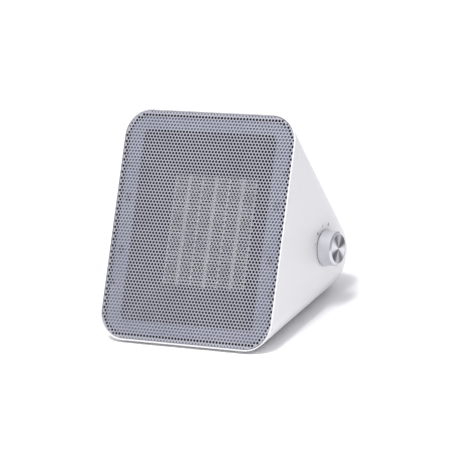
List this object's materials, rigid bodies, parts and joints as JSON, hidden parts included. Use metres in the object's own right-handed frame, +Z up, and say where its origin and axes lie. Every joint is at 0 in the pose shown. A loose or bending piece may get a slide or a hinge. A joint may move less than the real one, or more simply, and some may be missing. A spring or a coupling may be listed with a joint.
{
  "type": "ceramic space heater",
  "caption": "Small wedge-shaped ceramic fan heater with a perforated front, a rotary side knob, a slotted rear intake and a fan behind a PTC heating block.",
  "frame": {"origin": "on the floor, under the centre of the bounding box; the mirror plane of the housing is at x = -6.25 mm, because the knob stands out on the right", "axes": "+Z up from the floor it rests on, front face towards -Y and leaning back 30 degrees from upright, knob on the +X side"},
  "size_m": [0.1754, 0.1706, 0.1718],
  "materials": {
    "white_plastic": "satin moulded ABS, slightly cool white",
    "grille_sheet": "perforated steel sheet, silver paint",
    "frame_plastic": "light grey-blue moulded plastic",
    "duct_plastic": "dark heat-resistant moulded plastic",
    "fin_aluminium": "bright rolled strip",
    "rod_aluminium": "drawn tube round ceramic stones",
    "holder_plastic": "brown heat-resistant moulded plastic",
    "brass": "stamped or turned",
    "steel": "zinc plated",
    "fuse_coating": "tinned case",
    "fan_plastic": "moulded",
    "ivory_plastic": "moulded",
    "ferrite": "sintered ferrite",
    "winding": "steel core with enamelled copper",
    "knob_silver": "silver-painted, satin with a polished chamfer",
    "knob_disc": "spun, circular brushed",
    "print_grey": "grey print",
    "rubber": "soft grey",
    "black_plastic": "moulded",
    "plunger_plastic": "moulded"
  },
  "bodies": {
    "heater": {"housing": "white_plastic", "front_grille": "grille_sheet", "grille_clips": "steel", "front_frame": "frame_plastic", "frame_screws": "steel", "outlet_duct": "duct_plastic", "heater_holder_top": "holder_plastic", "heater_holder_bottom": "holder_plastic", "heater_fin_1": "fin_aluminium", "heater_fin_2": "fin_aluminium", "heater_fin_3": "fin_aluminium", "heater_fin_4": "fin_aluminium", "heater_fin_5": "fin_aluminium", "heater_fin_6": "fin_aluminium", "ptc_rod_1": "rod_aluminium", "ptc_rod_2": "rod_aluminium", "ptc_rod_3": "rod_aluminium", "heater_plates": "fin_aluminium", "heater_terminals": "brass", "thermostat": "steel", "thermal_fuse": "fuse_coating", "fan_housing": "duct_plastic", "fan_housing_screws": "steel", "motor_can": "steel", "motor_end_cap": "ivory_plastic", "motor_magnets": "ferrite", "motor_bushes": "brass", "motor_screws": "steel", "switch_body": "ivory_plastic", "switch_terminals": "brass", "switch_nut": "steel", "dial_marks": "print_grey", "intake_grille": "white_plastic", "base_plate": "white_plastic", "base_screws": "steel", "feet": "rubber", "tip_switch_body": "black_plastic", "tip_spring": "steel", "terminal_block": "ivory_plastic", "cord_bush": "rubber"},
    "fan": {"impeller": "fan_plastic", "motor_rotor": "winding", "motor_shaft": "steel"},
    "control": {"knob": "knob_silver", "knob_cap": "knob_disc", "knob_pointer": "print_grey", "switch_shaft": "steel"},
    "tip_button": {"tip_plunger": "plunger_plastic"}
  },
  "joints": [
    {"name": "fan_spin", "type": "hinge", "parent": "heater", "child": "fan", "pos_m": [-0.00625, 0.00711, 0.06237], "axis": [0, -0.866, 0.5], "continuous": true},
    {"name": "knob_turn", "type": "hinge", "parent": "heater", "child": "control", "pos_m": [0.07525, 0.02824, 0.05017], "axis": [1, 0, 0], "range_deg": [-60, 30]},
    {"name": "tip_press", "type": "slide", "parent": "heater", "child": "tip_button", "axis": [0, 0, -1], "range_m": [0, 0.003], "stiffness_N_per_m": 120, "springref_m": 0.005, "deforming": ["tip_spring"]}
  ]
}
